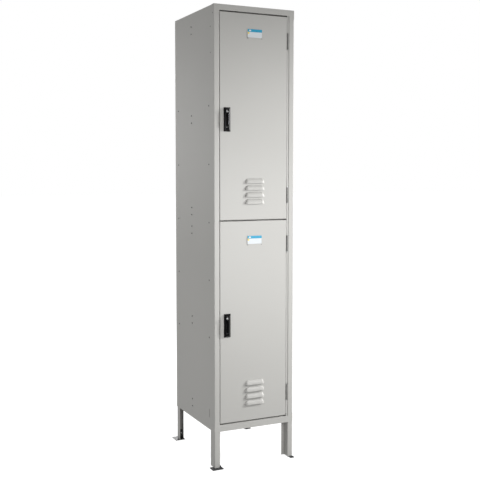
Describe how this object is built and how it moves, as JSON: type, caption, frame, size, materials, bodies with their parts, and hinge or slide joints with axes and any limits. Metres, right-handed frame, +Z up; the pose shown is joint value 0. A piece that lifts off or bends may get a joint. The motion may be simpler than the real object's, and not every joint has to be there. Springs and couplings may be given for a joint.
{
  "type": "school locker",
  "caption": "Two-tier light grey steel school locker on legs, with pan doors, louvers, card holders and black recessed lift handles",
  "frame": {"origin": "floor level, middle of the four anchor holes, which is also the middle of the body's footprint", "axes": "+Z up, doors face -Y, hinges on the +X side"},
  "size_m": [0.3986, 0.4987, 1.981],
  "materials": {
    "enamel": "satin light grey enamel",
    "zinc": "bright zinc plate",
    "dark_steel": "dark oxide steel",
    "hinge_steel": "mid-grey hinge steel",
    "black_enamel": "black enamel",
    "black_plastic": "moulded black plastic",
    "white_plastic": "moulded white plastic",
    "bumper_rubber": "soft black rubber",
    "card_face": "printed card with a blue header band"
  },
  "bodies": {
    "cabinet": {"left_front_upright": "enamel", "right_front_upright": "enamel", "left_rear_upright": "enamel", "right_rear_upright": "enamel", "jamb_strips": "enamel", "top_rail": "enamel", "middle_rail": "enamel", "bottom_rail": "enamel", "left_side_panel": "enamel", "right_side_panel": "enamel", "back_panel": "enamel", "top_panel": "enamel", "bottom_panel": "enamel", "tier_shelf": "enamel", "left_front_foot": "black_enamel", "right_front_foot": "black_enamel", "left_rear_foot": "black_enamel", "right_rear_foot": "black_enamel", "upper_ceiling_hook": "zinc", "lower_ceiling_hook": "zinc", "upper_wall_hooks": "zinc", "lower_wall_hooks": "zinc", "latch_catches": "zinc", "door_bumpers": "bumper_rubber", "upper_frame_leaves": "hinge_steel", "lower_frame_leaves": "hinge_steel", "upper_hinge_pins": "zinc", "lower_hinge_pins": "zinc", "side_bolts": "dark_steel", "side_nuts": "zinc", "hook_bolts": "dark_steel", "foot_bolts": "zinc", "back_screws": "dark_steel", "corner_rivets": "dark_steel"},
    "upper_door": {"upper_door_pan": "enamel", "upper_door_stiffener": "enamel", "upper_handle_housing": "black_plastic", "upper_padlock_eye": "zinc", "upper_card_holder": "enamel", "upper_card": "card_face", "upper_card_rivets": "dark_steel", "upper_door_leaves": "hinge_steel", "upper_latch_guides": "white_plastic"},
    "upper_latch": {"upper_latch_bar": "zinc", "upper_latch_fingers": "zinc", "upper_lever_plate": "dark_steel", "upper_lift_lever": "black_plastic"},
    "lower_door": {"lower_door_pan": "enamel", "lower_door_stiffener": "enamel", "lower_handle_housing": "black_plastic", "lower_padlock_eye": "zinc", "lower_card_holder": "enamel", "lower_card": "card_face", "lower_card_rivets": "dark_steel", "lower_door_leaves": "hinge_steel", "lower_latch_guides": "white_plastic"},
    "lower_latch": {"lower_latch_bar": "zinc", "lower_latch_fingers": "zinc", "lower_lever_plate": "dark_steel", "lower_lift_lever": "black_plastic"}
  },
  "joints": [
    {"name": "upper_door_swing", "type": "hinge", "parent": "cabinet", "child": "upper_door", "pos_m": [0.1608, -0.227, 1.513], "axis": [0, 0, 1], "range_deg": [0, 110]},
    {"name": "upper_latch_lift", "type": "slide", "parent": "upper_door", "child": "upper_latch", "axis": [0, 0, 1], "range_m": [0, 0.01]},
    {"name": "lower_door_swing", "type": "hinge", "parent": "cabinet", "child": "lower_door", "pos_m": [0.1608, -0.227, 0.6315], "axis": [0, 0, 1], "range_deg": [0, 110]},
    {"name": "lower_latch_lift", "type": "slide", "parent": "lower_door", "child": "lower_latch", "axis": [0, 0, 1], "range_m": [0, 0.01]}
  ]
}
